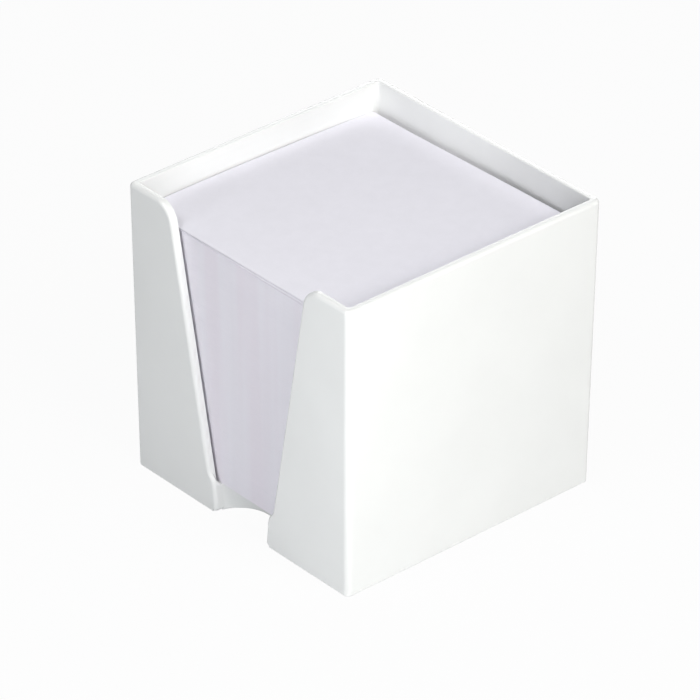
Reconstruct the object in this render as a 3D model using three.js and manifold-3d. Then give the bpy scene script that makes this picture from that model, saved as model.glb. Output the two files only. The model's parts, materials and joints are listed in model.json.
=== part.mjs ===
// Memo holder: a square moulded box with a notched front wall, filled with loose memo sheets.
// Millimetres, +Z up. The origin is on the desk, under the middle of the box.
// The notched wall is the front and faces -Y.

import * as THREE from 'three';
import { mergeVertices } from 'three/addons/utils/BufferGeometryUtils.js';
import Module from 'manifold-3d';

// Box, outside: the walls lean out towards the rim so that the moulding leaves its mould
const rimWidth = 98;
const footWidth = 96;
const boxHeight = 97.5;
const cornerRadius = 2;

// Box, wall: the rim is rounded on both sides
const wallThickness = 2.4;
const rimOuterRounding = 1.2;
const rimInnerRounding = 0.4;
const footRounding = 0.4;

// Floor, raised above the desk by a skirt, and the soft corners of the inside
const floorTop = 8.8;
const floorThickness = 2;
const insideCornerRadius = 1;
const floorFillet = 0.3;

// Notch in the front wall: its sides lean towards each other, down to a bend that ends lower inside
const notchRimWidth = 60;
const notchFootWidth = 24;
const notchTopRadius = 7;
const notchEdgeRounding = 1.2;
const bendTop = 14;
const innerBendTop = 9.8;

// Finger opening through the front wall and the floor, below the notch: a bend joins the two
const fingerTopWidth = 24;
const fingerFootWidth = 22.2;
const fingerFootRadius = 1.6;

// Its sides run on behind the wall until an arc joins them
const fingerSideRun = 0.7;
const fingerArcLead = 0.8;

// Stack of sheets, lying loose on the floor: every bundle stands for 99 sheets
const sheetPlay = 1.2;
const sheetThickness = 0.1;
const stackSetDown = 9.1;
const bundleCount = 8;
const looseSheetCount = 4;
const sideClearance = 0.4;
const frontClearance = 1;

// One overrun serves every cut
const overrun = 0.5;

// Steps round a quarter turn, round the notch's corners, and round the whole finger opening
const roundSteps = 4;
const notchSteps = 12;
const fingerSteps = 72;

// Sizes that follow from the others
const sheetSide = 2 * Math.min(insideHalf(0), insideHalf(boxHeight)) - sheetPlay;
const stackHeight = boxHeight - floorTop - stackSetDown;
const bundleThickness = (stackHeight - looseSheetCount * sheetThickness) / bundleCount;
const fingerCentreY = -footWidth / 2 - fingerArcLead;

const wasm = await Module();
wasm.setup();

// Colours and finishes
function mouldedPlastic() {
  return new THREE.MeshStandardMaterial({ color: 0xf4f5f3, roughness: 0.22, metalness: 0 });
}

function sheetPaper() {
  return new THREE.MeshStandardMaterial({ color: 0xe2dfe8, roughness: 0.85, metalness: 0 });
}

// Joining and cutting: a geometry becomes a solid, and a solid becomes a geometry again
function toSolid(geometry) {
  const bare = geometry.clone();
  bare.deleteAttribute('normal');
  bare.deleteAttribute('uv');
  const merged = mergeVertices(bare);
  const mesh = new wasm.Mesh({
    numProp: 3,
    vertProperties: new Float32Array(merged.attributes.position.array),
    triVerts: new Uint32Array(merged.index.array),
  });
  return new wasm.Manifold(mesh);
}

function toGeometry(solid) {
  const mesh = solid.getMesh();
  const geometry = new THREE.BufferGeometry();
  geometry.setAttribute('position', new THREE.BufferAttribute(mesh.vertProperties, mesh.numProp));
  geometry.setIndex(new THREE.BufferAttribute(mesh.triVerts, 1));
  const flat = geometry.toNonIndexed();
  flat.computeVertexNormals();
  return flat;
}

// A closed body through flat outlines of equal point count, each at its own height
function loft(sections) {
  const count = sections[0].outline.length;
  const positions = [];
  for (const { outline, height } of sections) {
    for (const point of outline) {
      positions.push(point.x, point.y, height);
    }
  }
  const faces = [];
  for (let level = 0; level < sections.length - 1; level += 1) {
    for (let index = 0; index < count; index += 1) {
      const next = (index + 1) % count;
      const low = level * count;
      const high = low + count;
      faces.push(low + index, low + next, high + next);
      faces.push(low + index, high + next, high + index);
    }
  }
  const top = (sections.length - 1) * count;
  for (const [a, b, c] of THREE.ShapeUtils.triangulateShape(sections[0].outline, [])) {
    faces.push(c, b, a);
  }
  for (const [a, b, c] of THREE.ShapeUtils.triangulateShape(sections.at(-1).outline, [])) {
    faces.push(top + a, top + b, top + c);
  }
  const geometry = new THREE.BufferGeometry();
  geometry.setAttribute('position', new THREE.Float32BufferAttribute(positions, 3));
  geometry.setIndex(faces);
  return geometry;
}

// A square outline with round corners
function roundedSquare(half, radius) {
  const centre = half - radius;
  const shape = new THREE.Shape();
  shape.absarc(centre, centre, radius, 0, Math.PI / 2);
  shape.absarc(-centre, centre, radius, Math.PI / 2, Math.PI);
  shape.absarc(-centre, -centre, radius, Math.PI, Math.PI * 1.5);
  shape.absarc(centre, -centre, radius, Math.PI * 1.5, Math.PI * 2);
  return shape.getPoints(roundSteps / 2);
}

// How far a rounded edge has drawn back, and how far along its depth, at each step of a quarter turn
function quarterRound(radius, steps) {
  const places = [];
  for (let step = 0; step <= steps; step += 1) {
    const angle = (step / steps) * (Math.PI / 2);
    places.push({ along: radius * Math.sin(angle), drawnBack: radius * (1 - Math.cos(angle)) });
  }
  return places;
}

// Half widths of the box outside and inside at a height
function outsideHalf(height) {
  return THREE.MathUtils.lerp(footWidth, rimWidth, height / boxHeight) / 2;
}

function insideHalf(height) {
  return outsideHalf(height) - wallThickness;
}

// Half widths of the notch and of the finger opening at a height
function notchHalf(height) {
  return THREE.MathUtils.lerp(notchFootWidth, notchRimWidth, height / boxHeight) / 2;
}

function fingerHalf(height) {
  return THREE.MathUtils.lerp(fingerFootWidth, fingerTopWidth, height / floorTop) / 2;
}

// Outer skin of the box, filled solid
function boxBlock() {
  const ring = (height, inset) => ({
    height,
    outline: roundedSquare(outsideHalf(height) - inset, cornerRadius - inset),
  });
  const foot = quarterRound(footRounding, roundSteps)
    .reverse()
    .map(({ along, drawnBack }) => ring(footRounding - along, drawnBack));
  const rim = quarterRound(rimOuterRounding, roundSteps)
    .map(({ along, drawnBack }) => ring(boxHeight - rimOuterRounding + along, drawnBack));
  return toSolid(loft([...foot, ...rim]));
}

// Room for the sheets, from the floor up through the rim
function sheetRoom() {
  const ring = (height, inset) => ({
    height,
    outline: roundedSquare(insideHalf(height) - inset, insideCornerRadius - inset),
  });
  const floor = quarterRound(floorFillet, roundSteps)
    .reverse()
    .map(({ along, drawnBack }) => ring(floorTop + floorFillet - along, drawnBack));
  const rim = quarterRound(rimInnerRounding, roundSteps)
    .map(({ along, drawnBack }) => ring(boxHeight - rimInnerRounding + along, -drawnBack));
  const above = ring(boxHeight + overrun, -rimInnerRounding);
  return toSolid(loft([...floor, ...rim, above]));
}

// Radius of the finger opening at a height: its arc meets the sides behind the wall
function fingerRadius(height) {
  return Math.hypot(fingerHalf(height), fingerSideRun - insideHalf(height) - fingerCentreY);
}

// A tapered round plug about the middle of the finger opening
function fingerPlug(extraRadius, bottom, top) {
  const plug = new THREE.CylinderGeometry(
    fingerRadius(top) + extraRadius,
    fingerRadius(bottom) + extraRadius,
    top - bottom,
    fingerSteps,
  );
  plug.rotateX(Math.PI / 2);
  plug.translate(0, fingerCentreY, (top + bottom) / 2);
  return toSolid(plug);
}

// Hollow under the floor, which leaves the skirt and the wall round the finger opening
function underFloorRoom() {
  const ceiling = floorTop - floorThickness;
  const ring = (height) => ({ height, outline: roundedSquare(insideHalf(height), insideCornerRadius) });
  const room = toSolid(loft([ring(-overrun), ring(ceiling)]));
  return room.subtract(fingerPlug(wallThickness, -overrun * 2, ceiling + overrun));
}

// Outline of the notch and the finger opening seen from the front, widened where the edge is rounded,
// with the bend that joins the two ending at a height
function notchOutline(widening, bendEnd) {
  const slant = Math.atan2((notchRimWidth - notchFootWidth) / 2, boxHeight);
  const fingerSlant = Math.atan2((fingerTopWidth - fingerFootWidth) / 2, floorTop);
  const notchSide = (height) => notchHalf(height) + widening / Math.cos(slant);
  const fingerSide = (height) => fingerHalf(height) + widening / Math.cos(fingerSlant);
  const bendMiddle = (bendEnd + floorTop) / 2;
  const top = { y: boxHeight - notchTopRadius, arc: notchTopRadius - widening };
  const foot = { y: fingerFootRadius, arc: fingerFootRadius - widening };
  top.x = notchSide(top.y) + top.arc / Math.cos(slant);
  foot.x = fingerSide(foot.y) + foot.arc / Math.cos(fingerSlant);
  const shape = new THREE.Shape();
  shape.moveTo(-foot.x, -overrun);
  shape.lineTo(foot.x, -overrun);
  shape.absarc(foot.x, foot.y, foot.arc, Math.PI * 1.5, Math.PI - fingerSlant, true);
  shape.lineTo(fingerSide(floorTop), floorTop);
  shape.bezierCurveTo(
    fingerSide(bendMiddle), bendMiddle, notchSide(bendMiddle), bendMiddle, notchSide(bendEnd), bendEnd,
  );
  shape.absarc(top.x, top.y, top.arc, Math.PI - slant, Math.PI / 2, true);
  shape.lineTo(top.x, boxHeight + overrun);
  shape.lineTo(-top.x, boxHeight + overrun);
  shape.absarc(-top.x, top.y, top.arc, Math.PI / 2, slant, true);
  shape.lineTo(-notchSide(bendEnd), bendEnd);
  shape.bezierCurveTo(
    -notchSide(bendMiddle), bendMiddle, -fingerSide(bendMiddle), bendMiddle, -fingerSide(floorTop), floorTop,
  );
  shape.absarc(-foot.x, foot.y, foot.arc, fingerSlant, -Math.PI / 2, true);
  return shape.getPoints(notchSteps / 2);
}

// Stands a body up against the front wall: what was drawn as its height now points out of the wall
function ontoFrontWall(geometry) {
  const position = geometry.attributes.position;
  for (let index = 0; index < position.count; index += 1) {
    const height = position.getY(index);
    position.setXYZ(index, position.getX(index), -outsideHalf(height) - position.getZ(index), height);
  }
  return geometry;
}

// Notch and finger opening through the front wall, with their outer edge rounded, and the arc behind
function notchCut() {
  const section = (height, widening, bendEnd) => ({ height, outline: notchOutline(widening, bendEnd) });
  const edge = quarterRound(notchEdgeRounding, roundSteps)
    .map(({ along, drawnBack }) => section(along - notchEdgeRounding, drawnBack, bendTop));
  const inner = [-rimWidth / 2, -wallThickness].map((height) => section(height, 0, innerBendTop));
  const before = section(overrun, notchEdgeRounding, bendTop);
  const passage = toSolid(ontoFrontWall(loft([...inner, ...edge, before])));
  const reach = wallThickness + overrun;
  const wallZone = new THREE.BoxGeometry(rimWidth, boxHeight * 2, reach * 2);
  const plug = fingerPlug(0, -overrun * 2, floorTop + overrun);
  return passage.intersect(toSolid(ontoFrontWall(wallZone)).add(plug));
}

// Box: one moulding with walls, floor, skirt, notch and finger opening
function makeHolder() {
  const solid = boxBlock()
    .subtract(sheetRoom())
    .subtract(underFloorRoom())
    .subtract(notchCut());
  const mesh = new THREE.Mesh(toGeometry(solid), mouldedPlastic());
  mesh.name = 'holder';
  return mesh;
}

// Sheets lying together, leaning with the left wall and set back evenly from the front wall
function makeSheets(name, height, bottom) {
  const mesh = new THREE.Mesh(new THREE.BoxGeometry(sheetSide, sheetSide, height), sheetPaper());
  const wallFace = Math.min(insideHalf(bottom), insideHalf(bottom + height));
  mesh.position.set(
    sheetSide / 2 + sideClearance - wallFace,
    sheetSide / 2 + frontClearance - wallFace,
    bottom + height / 2,
  );
  mesh.name = name;
  return mesh;
}

// Stack: bundles from the floor up, then the single sheets on top of them
function makeStack() {
  const stack = new THREE.Group();
  let level = floorTop;
  for (let number = 1; number <= bundleCount; number += 1) {
    stack.add(makeSheets(`sheet_bundle_${number}`, bundleThickness, level));
    level += bundleThickness;
  }
  for (let number = 1; number <= looseSheetCount; number += 1) {
    stack.add(makeSheets(`loose_sheet_${number}`, sheetThickness, level));
    level += sheetThickness;
  }
  return stack;
}

const memoHolder = new THREE.Group();
memoHolder.add(makeHolder(), makeStack());

export default memoHolder;
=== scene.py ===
"""Memo holder: a glossy white moulded box with a notched front wall, filled with loose memo sheets.

Metres, +Z up. The origin is on the desk, under the middle of the box. The notched wall faces -Y.
"""

import json
import math

import bpy
from mathutils import Matrix, Vector

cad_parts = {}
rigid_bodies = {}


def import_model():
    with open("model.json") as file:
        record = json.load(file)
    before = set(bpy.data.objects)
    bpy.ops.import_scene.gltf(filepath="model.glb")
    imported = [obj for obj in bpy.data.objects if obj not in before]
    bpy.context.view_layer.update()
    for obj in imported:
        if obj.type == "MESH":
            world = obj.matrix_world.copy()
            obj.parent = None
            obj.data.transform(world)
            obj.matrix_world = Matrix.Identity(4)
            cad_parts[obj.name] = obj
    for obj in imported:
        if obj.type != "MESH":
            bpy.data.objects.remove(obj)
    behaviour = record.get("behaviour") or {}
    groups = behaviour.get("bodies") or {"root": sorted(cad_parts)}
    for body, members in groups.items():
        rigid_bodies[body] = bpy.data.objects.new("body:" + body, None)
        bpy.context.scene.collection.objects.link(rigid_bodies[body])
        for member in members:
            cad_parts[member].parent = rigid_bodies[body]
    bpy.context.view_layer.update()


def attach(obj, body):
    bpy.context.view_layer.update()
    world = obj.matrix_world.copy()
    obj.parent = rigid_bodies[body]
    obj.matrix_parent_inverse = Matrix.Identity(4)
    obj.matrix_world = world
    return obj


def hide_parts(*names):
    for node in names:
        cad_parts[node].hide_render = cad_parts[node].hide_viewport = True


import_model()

bl_info = {
    "name": "Memo holder",
    "version": (1, 0, 0),
    "blender": (4, 5, 0),
    "location": "3D View > Sidebar > Memo holder",
    "description": "Builds a moulded memo holder with its stack of loose sheets",
    "category": "Add Mesh",
}

MM = 0.001
BUNDLES = 8
BUNDLE_GRID = 8
SINGLE_SHEET_GRID = 60
# How each single sheet lies: turn in degrees, shift and lift of its front corners in millimetres
SINGLE_SHEETS = (
    {"turn": 0.05, "shift": (0.05, 0.1), "left_lift": 0, "right_lift": 0},
    {"turn": -0.12, "shift": (-0.05, 0.05), "left_lift": 0, "right_lift": 0},
    {"turn": 0.25, "shift": (0.1, -0.15), "left_lift": 0.05, "right_lift": 0.16},
    {"turn": 0.9, "shift": (0.35, 0.32), "left_lift": 0.3, "right_lift": 0.36},
)
SMOOTH_ANGLE = math.radians(32)
FLOOR_WIDTH = 8
# How much of the shadow on the floor shows
FLOOR_SHADOW = 0.05


def length(name, description, millimetres):
    """A size property in metres, written in millimetres."""
    return bpy.props.FloatProperty(
        name=name,
        description=description,
        default=millimetres * MM,
        min=0,
        precision=5,
        unit="LENGTH",
    )


def share(name, description, default):
    """A property between nothing and all."""
    return bpy.props.FloatProperty(
        name=name, description=description, default=default, min=0, max=1, subtype="FACTOR"
    )


def colour(name, description, default):
    """A linear colour property."""
    return bpy.props.FloatVectorProperty(
        name=name, description=description, default=default, min=0, max=1, size=3, subtype="COLOR"
    )


# Sizes and colours


class HolderSizes(bpy.types.PropertyGroup):
    """Sizes of the moulded box."""

    rim_width: length("Rim width", "Outside width at the rim", 98)
    foot_width: length("Foot width", "Outside width at the foot", 96)
    height: length("Height", "From the desk to the rim", 97.5)
    corner_radius: length("Corner radius", "Outside radius of the standing corners", 2)
    wall: length("Wall", "Thickness of the walls", 2.4)
    rim_outer_rounding: length("Outer rim rounding", "Radius of the rim's outer edge", 1.2)
    rim_inner_rounding: length("Inner rim rounding", "Radius of the rim's inner edge", 0.4)
    foot_rounding: length("Foot rounding", "Radius of the edge at the foot", 0.4)
    floor_top: length("Floor top", "Height of the floor that the sheets lie on", 8.8)
    floor_thickness: length("Floor thickness", "Thickness of the floor", 2)
    inside_corner_radius: length("Inside corner radius", "Radius of the inside standing corners", 1)
    floor_fillet: length("Floor fillet", "Radius between the floor and the walls", 0.3)
    notch_rim_width: length("Notch width at the rim", "Width of the notch at the rim", 60)
    notch_foot_width: length(
        "Notch width at the foot", "Width that the notch would have at the foot", 24
    )
    notch_top_radius: length("Notch top radius", "Radius where the notch meets the rim", 7)
    notch_edge_rounding: length("Notch edge rounding", "Radius of the notch's outer edge", 1.2)
    bend_top: length("Bend top", "Height where the notch's straight outer edges end", 14)
    inner_bend_top: length("Inner bend top", "Height where its straight inner edges end", 9.8)
    finger_top_width: length("Finger opening's top", "Width of the opening at the floor", 24)
    finger_foot_width: length("Finger opening's foot", "Width of the opening at the foot", 22.2)
    finger_foot_radius: length("Finger foot radius", "Radius of the opening's lower corners", 1.6)
    finger_side_run: length("Finger side run", "How far its sides run on behind the wall", 0.7)
    finger_arc_lead: length("Finger arc lead", "How far the arc's middle lies before the foot", 0.8)
    finger_edge_rounding: length("Finger edge rounding", "Radius of the arc's lower edge", 0.7)
    gate_width: length("Gate width", "Width of the moulding gate's stub under the floor", 2.6)
    gate_height: length("Gate height", "Height of the moulding gate's stub under the floor", 0.4)
    round_steps: bpy.props.IntProperty(
        name="Rounding steps", description="Steps in a quarter turn of an edge", default=8, min=2
    )


class SheetSizes(bpy.types.PropertyGroup):
    """Sizes of the sheets and how they lie."""

    side: length("Side", "Side of a square sheet", 90)
    pitch: length("Pitch", "Height that one sheet adds to the stack", 0.1)
    thickness: length("Thickness", "Thickness of one sheet", 0.098)
    side_clearance: length("Side clearance", "From the left wall to the sheets", 0.4)
    front_clearance: length("Front clearance", "From the front wall to the sheets", 1)
    scatter: length("Scatter", "How far a sheet may lie off its place", 0.02)
    skew: bpy.props.FloatProperty(
        name="Skew",
        description="How far a sheet may be turned",
        default=math.radians(0.015),
        subtype="ANGLE",
    )
    bow: length("Bow", "How far the top sheets bow up at the middle of their left edge", 0.95)
    front_rise: length("Front rise", "How far they stand up at the front left corner", 0.75)
    back_drop: length("Back drop", "How far they hang down at the back left corner", 0.45)
    bow_reach: length("Bow reach", "How far from the left edge the bow fades out", 76)
    bow_fade: bpy.props.FloatProperty(
        name="Bow fade", description="How fast the bow fades out down the stack", default=1.5, min=1
    )
    per_bundle: bpy.props.IntProperty(
        name="Sheets in a bundle", description="Number of sheets in each bundle", default=99, min=1
    )


class Finishes(bpy.types.PropertyGroup):
    """Colours and finishes."""

    plastic: colour("Plastic", "Colour of the moulded box", (0.872, 0.88, 0.872))
    plastic_roughness: share("Plastic roughness", "Roughness of the moulded surface", 0.2)
    paper: colour("Paper", "Colour of a sheet's face", (0.845, 0.834, 0.898))
    # The cut edges' colour is painted lighter than the face, to make up for the shade between the
    # sheets and in the notch
    paper_edge_lightened_for_shade: colour("Paper edge", "Colour of the cut edges of the sheets", (0.905, 0.882, 0.942))
    floor: colour("Floor", "Colour of the floor", (0.6, 0.61, 0.625))


# Meshes from outlines


def quarter_round(radius, steps):
    """(along, back) pairs: how deep a rounded edge is at each step, and how far drawn back."""
    angles = [math.pi / 2 * step / steps for step in range(steps + 1)]
    return [(radius * math.sin(angle), radius * (1 - math.cos(angle))) for angle in angles]


def rounded_square(half, radius, height, steps):
    """A level square outline with round corners."""
    centre = half - radius
    outline = []
    for corner, (side_x, side_y) in enumerate(((1, 1), (-1, 1), (-1, -1), (1, -1))):
        for step in range(steps + 1):
            angle = (corner + step / steps) * math.pi / 2
            x = side_x * centre + radius * math.cos(angle)
            y = side_y * centre + radius * math.sin(angle)
            outline.append((x, y, height))
    return outline


def circle(radius, centre_y, height, steps):
    """A level round outline."""
    angles = [math.tau * step / steps for step in range(steps)]
    return [
        (radius * math.cos(angle), centre_y + radius * math.sin(angle), height) for angle in angles
    ]


def loft(name, outlines):
    """A closed mesh through outlines of equal point count, from the lowest to the highest."""
    count = len(outlines[0])
    points = [point for outline in outlines for point in outline]
    faces = [list(reversed(range(count)))]
    for level in range(len(outlines) - 1):
        low = level * count
        high = low + count
        for index in range(count):
            following = (index + 1) % count
            faces.append((low + index, low + following, high + following, high + index))
    last = (len(outlines) - 1) * count
    faces.append(list(range(last, last + count)))
    mesh = bpy.data.meshes.new(name)
    mesh.from_pydata(points, [], faces)
    mesh.update()
    return mesh


def evaluated(thing):
    """The mesh of an object with its modifiers applied."""
    depsgraph = bpy.context.evaluated_depsgraph_get()
    return bpy.data.meshes.new_from_object(thing.evaluated_get(depsgraph))


def new_object(name, mesh):
    """A mesh object at the origin."""
    thing = bpy.data.objects.new(name, mesh)
    bpy.context.scene.collection.objects.link(thing)
    return thing


def combine(body, tool, operation):
    """The union, difference or intersection of two closed meshes."""
    base = new_object("body", body)
    other = new_object("tool", tool)
    boolean = base.modifiers.new("combine", "BOOLEAN")
    boolean.operation = operation
    boolean.solver = "EXACT"
    boolean.object = other
    result = evaluated(base)
    for thing in (base, other):
        bpy.data.objects.remove(thing)
    return result


# Holder


class HolderShape:
    """The box's measures at a height, and the bodies that it is cut from."""

    overrun = 0.5 * MM
    corner_steps = 24
    bend_steps = 16
    arc_steps = 144
    gate_middle_share = 0.92
    gate_tip_share = 0.7

    def __init__(self, sizes):
        self.sizes = sizes
        self.steps = sizes.round_steps
        self.arc_centre = -sizes.foot_width / 2 - sizes.finger_arc_lead

    def between(self, foot, top, height, top_height):
        """Half of a width that grows evenly from the foot to a height."""
        return (foot + (top - foot) * height / top_height) / 2

    def outside_half(self, height):
        sizes = self.sizes
        return self.between(sizes.foot_width, sizes.rim_width, height, sizes.height)

    def inside_half(self, height):
        return self.outside_half(height) - self.sizes.wall

    def notch_half(self, height):
        sizes = self.sizes
        return self.between(sizes.notch_foot_width, sizes.notch_rim_width, height, sizes.height)

    def finger_half(self, height):
        sizes = self.sizes
        foot, top = sizes.finger_foot_width, sizes.finger_top_width
        return self.between(foot, top, height, sizes.floor_top)

    def finger_radius(self, height):
        """Radius of the finger opening's arc, which meets the sides behind the wall."""
        run = self.sizes.finger_side_run - self.inside_half(height) - self.arc_centre
        return math.hypot(self.finger_half(height), run)

    def block(self):
        """Outer skin of the box, filled solid."""
        sizes = self.sizes

        def ring(height, inset):
            half = self.outside_half(height) - inset
            return rounded_square(half, sizes.corner_radius - inset, height, self.steps)

        foot = [
            ring(sizes.foot_rounding - along, back)
            for along, back in reversed(quarter_round(sizes.foot_rounding, self.steps))
        ]
        rim_start = sizes.height - sizes.rim_outer_rounding
        rim = [
            ring(rim_start + along, back)
            for along, back in quarter_round(sizes.rim_outer_rounding, self.steps)
        ]
        return loft("block", foot + rim)

    def sheet_room(self):
        """Room for the sheets, from the floor up through the rim."""
        sizes = self.sizes

        def ring(height, inset):
            half = self.inside_half(height) - inset
            return rounded_square(half, sizes.inside_corner_radius - inset, height, self.steps)

        floor = [
            ring(sizes.floor_top + sizes.floor_fillet - along, back)
            for along, back in reversed(quarter_round(sizes.floor_fillet, self.steps))
        ]
        rim_start = sizes.height - sizes.rim_inner_rounding
        rim = [
            ring(rim_start + along, -back)
            for along, back in quarter_round(sizes.rim_inner_rounding, self.steps)
        ]
        above = ring(sizes.height + self.overrun, -sizes.rim_inner_rounding)
        return loft("sheet room", floor + rim + [above])

    def finger_plug(self, extra, heights):
        """A tapered round plug in the finger opening, through (height, flare) pairs."""

        def ring(height, flare):
            radius = self.finger_radius(height) + extra + flare
            return circle(radius, self.arc_centre, height, self.arc_steps)

        return loft("finger plug", [ring(height, flare) for height, flare in heights])

    def under_floor_room(self):
        """Hollow under the floor, which leaves the skirt and the wall round the finger opening."""
        sizes = self.sizes
        ceiling = sizes.floor_top - sizes.floor_thickness

        def ring(height):
            half = self.inside_half(height)
            return rounded_square(half, sizes.inside_corner_radius, height, self.steps)

        room = loft("under floor", [ring(-self.overrun), ring(ceiling)])
        plug = self.finger_plug(sizes.wall, [(-2 * self.overrun, 0), (ceiling + self.overrun, 0)])
        return combine(room, plug, "DIFFERENCE")

    def notch_outline(self, widening, bend_high):
        """Points (x, height) round the notch and the finger opening, widened at a rounded edge."""
        sizes = self.sizes
        slant = math.atan2((sizes.notch_rim_width - sizes.notch_foot_width) / 2, sizes.height)
        finger_slant = math.atan2(
            (sizes.finger_top_width - sizes.finger_foot_width) / 2, sizes.floor_top
        )

        def notch_side(height):
            return self.notch_half(height) + widening / math.cos(slant)

        def finger_side(height):
            return self.finger_half(height) + widening / math.cos(finger_slant)

        top_arc = sizes.notch_top_radius - widening
        top_z = sizes.height - sizes.notch_top_radius
        top_x = notch_side(top_z) + top_arc / math.cos(slant)
        foot_arc = sizes.finger_foot_radius - widening
        foot_z = sizes.finger_foot_radius
        foot_x = finger_side(foot_z) + foot_arc / math.cos(finger_slant)
        bend_low = sizes.floor_top
        bend_middle = (bend_low + bend_high) / 2
        handles = (
            Vector((finger_side(bend_low), bend_low)),
            Vector((finger_side(bend_middle), bend_middle)),
            Vector((notch_side(bend_middle), bend_middle)),
            Vector((notch_side(bend_high), bend_high)),
        )
        right = [(foot_x, -self.overrun)]
        for step in range(self.steps * 2 + 1):
            turn = math.pi * 1.5 - (math.pi / 2 + finger_slant) * step / (self.steps * 2)
            right.append((foot_x + foot_arc * math.cos(turn), foot_z + foot_arc * math.sin(turn)))
        for step in range(self.bend_steps + 1):
            along = step / self.bend_steps
            rest = 1 - along
            weights = (rest**3, 3 * rest**2 * along, 3 * rest * along**2, along**3)
            right.append(tuple(sum((w * h for w, h in zip(weights, handles)), Vector((0, 0)))))
        for step in range(self.corner_steps + 1):
            turn = math.pi - slant - (math.pi / 2 - slant) * step / self.corner_steps
            right.append((top_x + top_arc * math.cos(turn), top_z + top_arc * math.sin(turn)))
        right.append((top_x, sizes.height + self.overrun))
        left = [(-x, height) for x, height in reversed(right)]
        return right + left

    def on_front_wall(self, outline, depth):
        """An (x, height) outline stood against the front wall, at a depth behind its outer face."""
        return [(x, depth - self.outside_half(height), height) for x, height in outline]

    def notch_cut(self):
        """Notch and finger opening through the front wall, with rounded outer edge, and the arc."""
        sizes = self.sizes
        rounding = sizes.notch_edge_rounding
        inner = self.notch_outline(0, sizes.inner_bend_top)
        sections = [self.on_front_wall(inner, depth) for depth in (sizes.rim_width / 2, sizes.wall)]
        for along, back in quarter_round(rounding, self.steps):
            outer = self.notch_outline(back, sizes.bend_top)
            sections.append(self.on_front_wall(outer, rounding - along))
        before = self.notch_outline(rounding, sizes.bend_top)
        sections.append(self.on_front_wall(before, -self.overrun))
        passage = loft("passage", sections)
        reach = sizes.wall + self.overrun
        side = sizes.rim_width / 2
        low, high = -sizes.height, 2 * sizes.height
        zone_outline = [(-side, low), (side, low), (side, high), (-side, high)]
        zone_ends = [self.on_front_wall(zone_outline, depth) for depth in (reach, -reach)]
        zone = loft("wall zone", zone_ends)
        edge = sizes.finger_edge_rounding
        flared = [(edge - along, back) for along, back in reversed(quarter_round(edge, self.steps))]
        below = [(-2 * self.overrun, edge)]
        above = [(sizes.floor_top + self.overrun, 0)]
        plug = self.finger_plug(0, below + flared + above)
        return combine(passage, combine(zone, plug, "UNION"), "INTERSECT")

    def gate_stub(self):
        """The moulding gate's stub in the middle of the floor's underside."""
        sizes = self.sizes
        ceiling = sizes.floor_top - sizes.floor_thickness
        radius = sizes.gate_width / 2
        levels = (
            (ceiling - sizes.gate_height, radius * self.gate_tip_share),
            (ceiling - sizes.gate_height / 2, radius * self.gate_middle_share),
            (ceiling + self.overrun, radius),
        )
        rings = [circle(around, 0, height, 4 * self.steps) for height, around in levels]
        return loft("gate stub", rings)

    def moulding(self):
        """The whole box as one closed mesh."""
        mesh = self.block()
        for cutter in (self.sheet_room(), self.under_floor_room(), self.notch_cut()):
            mesh = combine(mesh, cutter, "DIFFERENCE")
        return combine(mesh, self.gate_stub(), "UNION")


# Node helpers


def add_node(tree, kind, inputs=None, **settings):
    """A node with its settings, and its inputs linked or filled in by name or index."""
    node = tree.nodes.new(kind)
    for setting, value in settings.items():
        setattr(node, setting, value)
    for key, value in (inputs or {}).items():
        if isinstance(value, bpy.types.NodeSocket):
            tree.links.new(value, node.inputs[key])
        else:
            node.inputs[key].default_value = value
    return node


def maths(tree, operation, *values):
    """The result of one math node."""
    node = add_node(tree, "ShaderNodeMath", dict(enumerate(values)), operation=operation)
    return node.outputs[0]


def vector_maths(tree, operation, inputs):
    """The result of one vector math node."""
    return add_node(tree, "ShaderNodeVectorMath", inputs, operation=operation).outputs[0]


def combined(tree, **parts):
    """A vector of its X, Y and Z parts, with nothing for a part that isn't given."""
    return add_node(tree, "ShaderNodeCombineXYZ", parts).outputs[0]


def separated(tree, vector):
    """The X, Y and Z parts of a vector."""
    return add_node(tree, "ShaderNodeSeparateXYZ", {0: vector}).outputs


def ranged(tree, value, low, high, start=0.0, end=1.0, interpolation="LINEAR"):
    """A value moved from the range between start and end to the one between low and high."""
    inputs = {"Value": value, 1: start, 2: end, 3: low, 4: high}
    node = add_node(tree, "ShaderNodeMapRange", inputs, interpolation_type=interpolation)
    return node.outputs[0]


def moved(tree, geometry, offset):
    """A geometry with its points moved."""
    inputs = {"Geometry": geometry, "Offset": offset}
    return add_node(tree, "GeometryNodeSetPosition", inputs).outputs[0]


# Sheets


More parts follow.
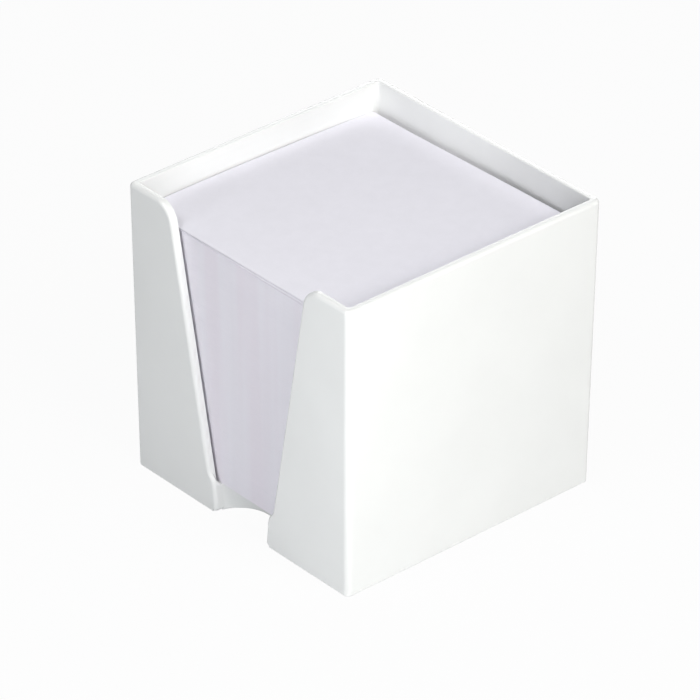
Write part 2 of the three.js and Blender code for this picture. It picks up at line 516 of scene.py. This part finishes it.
def sheet_places(tree, given, position, sizes, shape):
    """A point for every sheet, leaning out with the left and the front wall."""
    start = maths(tree, "ADD", given["Bottom"], sizes.pitch / 2)
    start_point = combined(tree, Z=start)
    line = add_node(
        tree,
        "GeometryNodeMeshLine",
        {"Count": given["Sheets"], "Start Location": start_point, "Offset": (0, 0, sizes.pitch)},
        mode="OFFSET",
    ).outputs["Mesh"]
    height = separated(tree, position)["Z"]
    at_desk = sizes.side / 2 - shape.inside_half(0)
    lean_per_metre = shape.inside_half(0) - shape.inside_half(1)
    leaning = maths(tree, "MULTIPLY", height, lean_per_metre)
    centre_x = maths(tree, "ADD", leaning, at_desk + sizes.side_clearance)
    centre_y = maths(tree, "ADD", leaning, at_desk + sizes.front_clearance)
    least = vector_maths(tree, "SCALE", {0: (-1, -1, 0), "Scale": given["Scatter"]})
    most = vector_maths(tree, "SCALE", {0: (1, 1, 0), "Scale": given["Scatter"]})
    stray = add_node(
        tree,
        "FunctionNodeRandomValue",
        {0: least, 1: most, "Seed": given["Seed"]},
        data_type="FLOAT_VECTOR",
    ).outputs[0]
    centre = combined(tree, X=centre_x, Y=centre_y)
    strayed = vector_maths(tree, "ADD", {0: centre, 1: stray})
    shifted = vector_maths(tree, "ADD", {0: strayed, 1: given["Shift"]})
    return moved(tree, line, shifted)


def flat_sheets(tree, given, places, sizes):
    """A thin body on every place, each turned a little."""
    sheet = add_node(
        tree,
        "GeometryNodeMeshCube",
        {
            "Size": (sizes.side, sizes.side, sizes.thickness),
            "Vertices X": given["Grid"],
            "Vertices Y": given["Grid"],
            "Vertices Z": 2,
        },
    ).outputs["Mesh"]
    skewed = add_node(
        tree,
        "FunctionNodeRandomValue",
        {2: maths(tree, "MULTIPLY", given["Skew"], -1.0), 3: given["Skew"], "Seed": given["Seed"]},
        data_type="FLOAT",
    ).outputs[1]
    turned = combined(tree, Z=maths(tree, "ADD", skewed, given["Turn"]))
    sheets = add_node(
        tree,
        "GeometryNodeInstanceOnPoints",
        {"Points": places, "Instance": sheet, "Rotation": turned},
    ).outputs[0]
    return add_node(tree, "GeometryNodeRealizeInstances", {"Geometry": sheets}).outputs[0]


def soft_bow(tree, apart, sizes, floor_top):
    """Bow: highest at the middle of the left edge, fading out to the right and down the stack."""
    half = sizes.side / 2
    left = ranged(tree, apart["X"], 0, 1, sizes.bow_reach - half, -half, "SMOOTHERSTEP")
    along = maths(tree, "DIVIDE", apart["Y"], half)
    square = -sizes.bow + (sizes.front_rise - sizes.back_drop) / 2
    slope = -(sizes.front_rise + sizes.back_drop) / 2
    curve = maths(tree, "MULTIPLY_ADD", along, square, slope)
    profile = maths(tree, "MULTIPLY_ADD", curve, along, sizes.bow)
    stack_height = sizes.pitch * (sizes.per_bundle * BUNDLES + len(SINGLE_SHEETS))
    above = maths(tree, "DIVIDE", maths(tree, "SUBTRACT", apart["Z"], floor_top), stack_height)
    fade = maths(tree, "POWER", maths(tree, "MAXIMUM", above, 0.0), sizes.bow_fade)
    return maths(tree, "MULTIPLY", maths(tree, "MULTIPLY", profile, left), fade)


def front_lift(tree, given, apart, sizes):
    """Lift of the front edge, at its left and at its right end."""
    half = sizes.side / 2
    blend_start = half / 4
    frontward = ranged(tree, apart["Y"], 0, 1, 0, -half, "SMOOTHSTEP")
    leftward = ranged(tree, apart["X"], 0, 1, blend_start, -half, "SMOOTHSTEP")
    right = given["Right lift"]
    more = maths(tree, "SUBTRACT", given["Left lift"], right)
    edge = maths(tree, "MULTIPLY_ADD", leftward, more, right)
    return maths(tree, "MULTIPLY", edge, frontward)


def sheet_tree(sizes, shape, paper):
    """Geometry Nodes tree that stacks sheets from a height up, and bows them together."""
    tree = bpy.data.node_groups.new("Stacked sheets", "GeometryNodeTree")
    tree.is_modifier = True
    inputs = (
        ("Sheets", "NodeSocketInt", 1),
        ("Grid", "NodeSocketInt", BUNDLE_GRID),
        ("Bottom", "NodeSocketFloat", 0.0),
        ("Scatter", "NodeSocketFloat", 0.0),
        ("Skew", "NodeSocketFloat", 0.0),
        ("Turn", "NodeSocketFloat", 0.0),
        ("Shift", "NodeSocketVector", (0, 0, 0)),
        ("Left lift", "NodeSocketFloat", 0.0),
        ("Right lift", "NodeSocketFloat", 0.0),
        ("Seed", "NodeSocketInt", 0),
    )
    for name, kind, default in inputs:
        socket = tree.interface.new_socket(name=name, in_out="INPUT", socket_type=kind)
        socket.default_value = default
    tree.interface.new_socket(name="Geometry", in_out="OUTPUT", socket_type="NodeSocketGeometry")
    given = tree.nodes.new("NodeGroupInput").outputs
    position = tree.nodes.new("GeometryNodeInputPosition").outputs[0]
    places = sheet_places(tree, given, position, sizes, shape)
    flat = flat_sheets(tree, given, places, sizes)
    apart = separated(tree, position)
    bowed = soft_bow(tree, apart, sizes, shape.sizes.floor_top)
    lifted = front_lift(tree, given, apart, sizes)
    shaped = moved(tree, flat, combined(tree, Z=maths(tree, "ADD", bowed, lifted)))
    dressing = {"Geometry": shaped, "Material": paper}
    finished = add_node(tree, "GeometryNodeSetMaterial", dressing).outputs[0]
    add_node(tree, "NodeGroupOutput", {"Geometry": finished})
    return tree


def stacked_sheets(name, tree, values):
    """A plain mesh object of the sheets that the tree makes from these inputs."""
    thing = new_object(name, bpy.data.meshes.new(name))
    modifier = thing.modifiers.new("sheets", "NODES")
    modifier.node_group = tree
    sockets = {item.name: item.identifier for item in tree.interface.items_tree}
    for key, value in values.items():
        modifier[sockets[key]] = value
    mesh = evaluated(thing)
    thing.modifiers.remove(modifier)
    thing.data = mesh
    return thing


# Materials

# Patterns of the two materials, with scale in bumps to the metre
PLASTIC_PATTERNS = {
    "clouds": {"scale": 38, "detail": 3},
    "specks": {"scale": 2600, "detail": 1},
    "scuffs": {"scale": 420, "detail": 3},
    "smears": {"scale": 70, "detail": 4},
    "waves": {"scale": 260, "detail": 1},
    "grain": {"scale": 3800, "detail": 2},
}
PAPER_PATTERNS = {
    "pulp": {"scale": 240, "detail": 4, "roughness": 0.6},
    "fibres": {"scale": 5200, "detail": 2, "roughness": 0.6},
    "knife marks": {"scale": 190, "detail": 3, "roughness": 0.6},
    "tint": {"scale": 120, "detail": 2},
}
DARK_CLOUD = 0.985
LIGHT_CLOUD = 1.012
RUBBED_HEIGHT = 1.5 * MM
FIBRE_STRETCHES = ((0.12, 1, 1), (1, 0.12, 1))
KNIFE_STRETCH = (1, 1, 0.04)
ROSY_TINT = (1, 0.975, 0.985)
SHEETS_IN_A_BAND = 3


def new_material(name):
    """A material with only its shader and output, and that shader."""
    material = bpy.data.materials.new(name)
    material.use_nodes = True
    tree = material.node_tree
    tree.nodes.clear()
    shader = tree.nodes.new("ShaderNodeBsdfPrincipled")
    add_node(tree, "ShaderNodeOutputMaterial", {"Surface": shader.outputs[0]})
    return material, tree, shader


def noise(tree, place, scale, detail=2.0, roughness=0.5):
    """A noise pattern of so many bumps to the metre."""
    inputs = {"Vector": place, "Scale": scale, "Detail": detail, "Roughness": roughness}
    return add_node(tree, "ShaderNodeTexNoise", inputs).outputs[0]


def mixed(tree, amount, first, second):
    """A colour between two, by an amount."""
    node = add_node(tree, "ShaderNodeMix", {"Factor": amount}, data_type="RGBA")
    for key, value in ((6, first), (7, second)):
        if isinstance(value, bpy.types.NodeSocket):
            tree.links.new(value, node.inputs[key])
        else:
            node.inputs[key].default_value = (*value, 1)
    return node.outputs[2]


def bump(tree, height, strength, distance, normal=None):
    """A surface direction that follows the heights of a pattern."""
    inputs = {"Height": height, "Strength": strength, "Distance": distance}
    if normal is not None:
        inputs["Normal"] = normal
    return add_node(tree, "ShaderNodeBump", inputs).outputs[0]


def stretched(tree, place, scale):
    """A place in a pattern that is drawn out along some axes."""
    inputs = {"Vector": place, "Scale": scale}
    return add_node(tree, "ShaderNodeMapping", inputs).outputs[0]


def shaded(base, factor):
    """A colour made lighter or darker."""
    return tuple(min(1.0, part * factor) for part in base)


def moulded_plastic(finishes):
    """Glossy white plastic, with the mould's soft waviness, faint flow clouds and light rubbing."""
    material, tree, shader = new_material("moulded_plastic")
    place = tree.nodes.new("ShaderNodeTexCoord").outputs["Object"]
    height = separated(tree, place)["Z"]
    base = tuple(finishes.plastic)
    speck_colour, speck_amount = shaded(base, 0.6), 0.05
    scuff_colour, scuff_amount, scuff_roughness = shaded(base, 0.82), 0.35, 0.25

    def pattern(name):
        return noise(tree, place, **PLASTIC_PATTERNS[name])

    clouds = ranged(tree, pattern("clouds"), 0, 1, start=0.3, end=0.7)
    cloudy = mixed(tree, clouds, shaded(base, DARK_CLOUD), shaded(base, LIGHT_CLOUD))
    specks = ranged(tree, pattern("specks"), 0, 1, start=0.74, end=0.8)
    specked = mixed(tree, maths(tree, "MULTIPLY", specks, speck_amount), cloudy, speck_colour)
    rubbed = ranged(tree, height, 1, 0, start=0, end=RUBBED_HEIGHT)
    patchy = ranged(tree, pattern("scuffs"), 0, 1, start=0.4, end=0.75)
    scuffs = maths(tree, "MULTIPLY", rubbed, patchy)
    worn = mixed(tree, maths(tree, "MULTIPLY", scuffs, scuff_amount), specked, scuff_colour)
    tree.links.new(worn, shader.inputs["Base Color"])

    smears = ranged(tree, pattern("smears"), -0.035, 0.05, start=0.3, end=0.7)
    rough = maths(tree, "ADD", smears, finishes.plastic_roughness)
    rougher = maths(tree, "ADD", rough, maths(tree, "MULTIPLY", scuffs, scuff_roughness))
    tree.links.new(rougher, shader.inputs["Roughness"])

    waves = bump(tree, pattern("waves"), strength=0.25, distance=0.02 * MM)
    grain = bump(tree, pattern("grain"), strength=0.3, distance=0.004 * MM, normal=waves)
    tree.links.new(grain, shader.inputs["Normal"])
    shader.inputs["IOR"].default_value = 1.5
    return material


def memo_paper(finishes, sizes):
    """Uncoated paper: cloudy and fibrous on its face, and finely ruled by the cut sheet edges."""
    material, tree, shader = new_material("memo_paper")
    place = tree.nodes.new("ShaderNodeTexCoord").outputs["Object"]
    face = tuple(finishes.paper)
    # Painted light: the edge colour is lighter than the face to stand in for light lost in the
    # shade between sheets
    edge = tuple(finishes.paper_edge_lightened_for_shade)

    # Face: clouds of the pulp and fibres lying both ways
    clouds = ranged(tree, noise(tree, place, **PAPER_PATTERNS["pulp"]), 0, 1, start=0.3, end=0.7)
    cloudy = mixed(tree, clouds, shaded(face, DARK_CLOUD), shaded(face, LIGHT_CLOUD))
    fibre_heights = [
        noise(tree, stretched(tree, place, stretch), **PAPER_PATTERNS["fibres"])
        for stretch in FIBRE_STRETCHES
    ]
    fibres = maths(tree, "MAXIMUM", *fibre_heights)
    fibre_amount = ranged(tree, fibres, 0, 0.3, start=0.52, end=0.75)
    fibrous = mixed(tree, fibre_amount, cloudy, shaded(face, 0.93))

    # Cut edges: faint upright marks of the knife, a tint that wanders, and bands of a few sheets,
    # on an edge colour painted lighter than the face to make up for shade
    upright = stretched(tree, place, KNIFE_STRETCH)
    knife = noise(tree, upright, **PAPER_PATTERNS["knife marks"])
    wandering = noise(tree, upright, **PAPER_PATTERNS["tint"])
    rosy = tuple(part * tint for part, tint in zip(edge, ROSY_TINT))
    tint_amount = ranged(tree, wandering, 0, 1, start=0.4, end=0.6)
    tinted = mixed(tree, tint_amount, rosy, shaded(edge, 1.02))
    knife_amount = ranged(tree, knife, 0, 0.4, start=0.45, end=0.8)
    marked = mixed(tree, knife_amount, tinted, shaded(edge, 0.95))
    bands = combined(tree, Z=separated(tree, place)["Z"])
    bands_to_the_metre = 1 / (SHEETS_IN_A_BAND * sizes.pitch)
    sheet_tone = noise(tree, bands, bands_to_the_metre, detail=2, roughness=0.7)
    band_amount = ranged(tree, sheet_tone, 0, 0.1, start=0.4, end=0.8)
    ruled = mixed(tree, band_amount, marked, shaded(edge, 0.93))

    # The face looks up or down, and the edges look sideways; the edges take the colour painted
    # lighter against the shade between sheets and in the notch
    normal = tree.nodes.new("ShaderNodeNewGeometry").outputs["Normal"]
    upward = maths(tree, "ABSOLUTE", separated(tree, normal)["Z"])
    on_face = ranged(tree, upward, 0, 1, start=0.4, end=0.6)
    tree.links.new(mixed(tree, on_face, ruled, fibrous), shader.inputs["Base Color"])
    tree.links.new(ranged(tree, clouds, 0.82, 0.92), shader.inputs["Roughness"])
    relief = bump(tree, fibres, strength=0.35, distance=0.012 * MM)
    tree.links.new(relief, shader.inputs["Normal"])
    shader.inputs["Specular IOR Level"].default_value = 0.3
    return material


def is_seen(tree):
    """One where a camera, glossy or transmitted ray looks, and nothing where light only bounces."""
    rays = tree.nodes.new("ShaderNodeLightPath").outputs
    mirrored = maths(tree, "MAXIMUM", rays["Is Glossy Ray"], rays["Is Transmission Ray"])
    return maths(tree, "MAXIMUM", rays["Is Camera Ray"], mirrored)


def floor_material(finishes):
    """A pale floor that shows as white and keeps the object's shadow."""
    material = bpy.data.materials.new("floor")
    material.use_nodes = True
    tree = material.node_tree
    tree.nodes.clear()
    matt = add_node(tree, "ShaderNodeBsdfDiffuse", {"Color": (*finishes.floor, 1)}).outputs[0]
    white = add_node(tree, "ShaderNodeEmission", {"Strength": 1.0}).outputs[0]
    amount = maths(tree, "MULTIPLY", is_seen(tree), 1 - FLOOR_SHADOW)
    shown = add_node(tree, "ShaderNodeMixShader", {0: amount, 1: matt, 2: white}).outputs[0]
    add_node(tree, "ShaderNodeOutputMaterial", {"Surface": shown})
    return material


# Operators


def settings():
    """The three groups of sizes and finishes."""
    scene = bpy.context.scene
    return scene.memo_holder_sizes, scene.memo_sheet_sizes, scene.memo_finishes


def finish_piece(piece, body, node):
    """The piece rides on its body and stands for its solid."""
    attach(piece, body)
    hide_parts(node)


class MEMO_OT_holder(bpy.types.Operator):
    """Build the moulded box"""

    bl_idname = "memo.holder"
    bl_label = "Build the holder"

    def execute(self, context):
        sizes, _, finishes = settings()
        mesh = HolderShape(sizes).moulding()
        if not mesh.polygons:
            raise RuntimeError("The moulding came out empty")
        piece = new_object("holder_moulding", mesh)
        mesh.materials.clear()
        mesh.materials.append(moulded_plastic(finishes))
        mesh.shade_smooth()
        mesh.set_sharp_from_angle(angle=SMOOTH_ANGLE)
        weights = piece.modifiers.new("weighted normals", "WEIGHTED_NORMAL")
        weights.mode = "FACE_AREA"
        weights.keep_sharp = True
        finish_piece(piece, "box", "holder")
        return {"FINISHED"}


class MEMO_OT_sheets(bpy.types.Operator):
    """Stack the bundles of sheets and lay the single ones on top"""

    bl_idname = "memo.sheets"
    bl_label = "Stack the sheets"

    def execute(self, context):
        holder_sizes, sizes, finishes = settings()
        paper = memo_paper(finishes, sizes)
        tree = sheet_tree(sizes, HolderShape(holder_sizes), paper)
        level = holder_sizes.floor_top
        for number in range(1, BUNDLES + 1):
            values = {
                "Sheets": sizes.per_bundle,
                "Grid": BUNDLE_GRID,
                "Bottom": level,
                "Scatter": sizes.scatter,
                "Skew": sizes.skew,
                "Seed": number,
            }
            piece = stacked_sheets(f"bundled_sheets_{number}", tree, values)
            finish_piece(piece, f"bundle_{number}", f"sheet_bundle_{number}")
            level += sizes.per_bundle * sizes.pitch
        for number, lying in enumerate(SINGLE_SHEETS, start=1):
            across, along = lying["shift"]
            values = {
                "Grid": SINGLE_SHEET_GRID,
                "Bottom": level,
                "Turn": math.radians(lying["turn"]),
                "Shift": (across * MM, along * MM, 0),
                "Left lift": lying["left_lift"] * MM,
                "Right lift": lying["right_lift"] * MM,
            }
            piece = stacked_sheets(f"single_sheet_{number}", tree, values)
            finish_piece(piece, f"sheet_{number}", f"loose_sheet_{number}")
            level += sizes.pitch
        return {"FINISHED"}


class MEMO_OT_stage(bpy.types.Operator):
    """Set up the camera, the floor and the light"""

    bl_idname = "memo.stage"
    bl_label = "Set the stage"

    def execute(self, context):
        _, _, finishes = settings()
        scene = bpy.context.scene
        place_camera(scene)
        half = FLOOR_WIDTH / 2
        corners = [(-half, -half, 0), (half, -half, 0), (half, half, 0), (-half, half, 0)]
        mesh = bpy.data.meshes.new("floor")
        mesh.from_pydata(corners, [], [(0, 1, 2, 3)])
        mesh.materials.append(floor_material(finishes))
        new_object("floor", mesh)
        light_scene(scene)
        scene.view_settings.view_transform = "Standard"
        return {"FINISHED"}


# Camera and light

# Metres and degrees. The focal length counts in widths of the picture, the sensor in millimetres.
CAMERA = {
    "azimuth": 48.743,
    "elevation": 31.698,
    "roll": -0.197,
    "target": (0, 0, 45.08 * MM),
    "aside": 3.971 * MM,
    "upward": 1.829 * MM,
    "distance": 1661.05 * MM,
    "focal_length": 5610.106 / 700,
    "sensor_width": 36,
    "clip_start": 0.1,
    "clip_end": 20,
}
SKY_COLOUR = (0.95, 0.97, 1.0, 1)
SKY_STRENGTH = 0.1
MIDDLE = (0, 0, 0.05)
# Square lamps: metres, watts, and the spread in degrees
LAMPS = {
    "key": {"place": (0.8485, 0, 0.8985), "size": 0.6, "power": 7.9, "tint": (1, 0.995, 0.995)},
    "right": {"place": (0.5936, 0, 0.421), "size": 0.4, "power": 0.95, "tint": (1, 0.97, 0.85)},
    "front": {"place": (0, -0.688, 1.033), "size": 0.3, "power": 3.2, "tint": (0.97, 0.985, 1)},
    "near": {
        "place": (0.195, -0.25, 0.11),
        "size": 0.15,
        "power": 0.33,
        "tint": (0.98, 0.995, 1),
    },
    "facing": {
        "place": (0.02, -0.3, 0.14),
        "size": 0.08,
        "power": 0.19,
        "tint": (0.98, 0.995, 1),
    },
    "inner": {
        "place": (0.03, -0.04, 0.118),
        "target": (-0.02, 0.049, 0.116),
        "size": 0.02,
        "power": 0.0025,
        "spread": 50,
    },
    "left": {"place": (-0.88, 0, 0.87), "size": 0.6, "power": 0.9, "tint": (0.98, 0.99, 1)},
    "rear": {"place": (-0.83, 0.83, 0.4775), "size": 0.5, "power": 3.2, "tint": (0.98, 0.99, 1)},
}
# Lamps that shine only on the objects whose names start so
LIT_ONLY = {
    "near": ("holder_moulding", "floor"),
    "facing": ("bundled_sheets", "single_sheet"),
    "inner": ("holder_moulding",),
}
# The lamp over the stack, which isn't seen, and is blocked only by what it shines on
UNSEEN_LAMP = "inner"


def place_camera(scene):
    """The camera at the photograph's viewing angle."""
    azimuth, elevation, roll = (
        math.radians(CAMERA[angle]) for angle in ("azimuth", "elevation", "roll")
    )
    level = math.cos(elevation)
    back = Vector((math.sin(azimuth) * level, -math.cos(azimuth) * level, math.sin(elevation)))
    right = Vector((math.cos(azimuth), math.sin(azimuth), 0))
    up = back.cross(right)
    turned_right = right * math.cos(roll) - up * math.sin(roll)
    turned_up = right * math.sin(roll) + up * math.cos(roll)
    lens = bpy.data.cameras.new("camera")
    lens.sensor_width = CAMERA["sensor_width"]
    lens.lens = CAMERA["focal_length"] * lens.sensor_width
    lens.clip_start = CAMERA["clip_start"]
    lens.clip_end = CAMERA["clip_end"]
    camera = bpy.data.objects.new("camera", lens)
    scene.collection.objects.link(camera)
    place = Vector(CAMERA["target"]) - turned_right * CAMERA["aside"]
    place = place - turned_up * CAMERA["upward"] + back * CAMERA["distance"]
    turn = Matrix((turned_right, turned_up, back)).transposed()
    camera.matrix_world = Matrix.Translation(place) @ turn.to_4x4()
    scene.camera = camera


def area_lamp(scene, name, place, size, power, tint=(1, 1, 1), target=MIDDLE, spread=180):
    """A square lamp that looks at a point, with its light kept inside the spread."""
    data = bpy.data.lights.new(name, "AREA")
    data.size = size
    data.energy = power
    data.color = tint
    data.spread = math.radians(spread)
    lamp = bpy.data.objects.new(name, data)
    scene.collection.objects.link(lamp)
    lamp.location = place
    lamp.rotation_euler = (Vector(target) - Vector(place)).to_track_quat("-Z", "Y").to_euler()
    return lamp


def light_only(scene, lamp, names):
    """Keep a lamp's light to the objects whose names start so."""
    lit = bpy.data.collections.new(f"lit by {lamp.name}")
    for thing in scene.objects:
        if thing.name.startswith(names):
            lit.objects.link(thing)
    lamp.light_linking.receiver_collection = lit


def light_scene(scene):
    """Soft studio light, mostly from above the right side."""
    world = bpy.data.worlds.new("studio")
    world.use_nodes = True
    tree = world.node_tree
    tree.nodes.clear()
    sky = {"Color": SKY_COLOUR, "Strength": SKY_STRENGTH}
    dim = add_node(tree, "ShaderNodeBackground", sky).outputs[0]
    white = add_node(tree, "ShaderNodeBackground", {"Strength": 1.0}).outputs[0]
    shown = add_node(tree, "ShaderNodeMixShader", {0: is_seen(tree), 1: dim, 2: white}).outputs[0]
    add_node(tree, "ShaderNodeOutputWorld", {"Surface": shown})
    scene.world = world
    for name, values in LAMPS.items():
        lamp = area_lamp(scene, name, **values)
        if name in LIT_ONLY:
            light_only(scene, lamp, LIT_ONLY[name])
        if name == UNSEEN_LAMP:
            lamp.visible_camera = False
            lamp.light_linking.blocker_collection = lamp.light_linking.receiver_collection


# Panel and registration


class MEMO_PT_panel(bpy.types.Panel):
    """Sizes, finishes and the steps that build the memo holder"""

    bl_label = "Memo holder"
    bl_idname = "MEMO_PT_panel"
    bl_space_type = "VIEW_3D"
    bl_region_type = "UI"
    bl_category = "Memo holder"

    def draw(self, context):
        layout = self.layout
        for title, group in zip(("Box", "Sheets", "Finishes"), settings()):
            box = layout.box()
            box.label(text=title)
            for name in group.__annotations__:
                box.prop(group, name)
        for operator in (MEMO_OT_holder, MEMO_OT_sheets, MEMO_OT_stage):
            layout.operator(operator.bl_idname)


CLASSES = (
    HolderSizes,
    SheetSizes,
    Finishes,
    MEMO_OT_holder,
    MEMO_OT_sheets,
    MEMO_OT_stage,
    MEMO_PT_panel,
)


def register():
    """Make the classes and the scene's three groups of settings known."""
    for item in CLASSES:
        bpy.utils.register_class(item)
    bpy.types.Scene.memo_holder_sizes = bpy.props.PointerProperty(type=HolderSizes)
    bpy.types.Scene.memo_sheet_sizes = bpy.props.PointerProperty(type=SheetSizes)
    bpy.types.Scene.memo_finishes = bpy.props.PointerProperty(type=Finishes)


def unregister():
    """Take them out again."""
    del bpy.types.Scene.memo_finishes
    del bpy.types.Scene.memo_sheet_sizes
    del bpy.types.Scene.memo_holder_sizes
    for item in reversed(CLASSES):
        bpy.utils.unregister_class(item)


def main():
    """Build everything."""
    register()
    bpy.ops.memo.holder()
    bpy.ops.memo.sheets()
    bpy.ops.memo.stage()


if __name__ == "__main__":
    main()
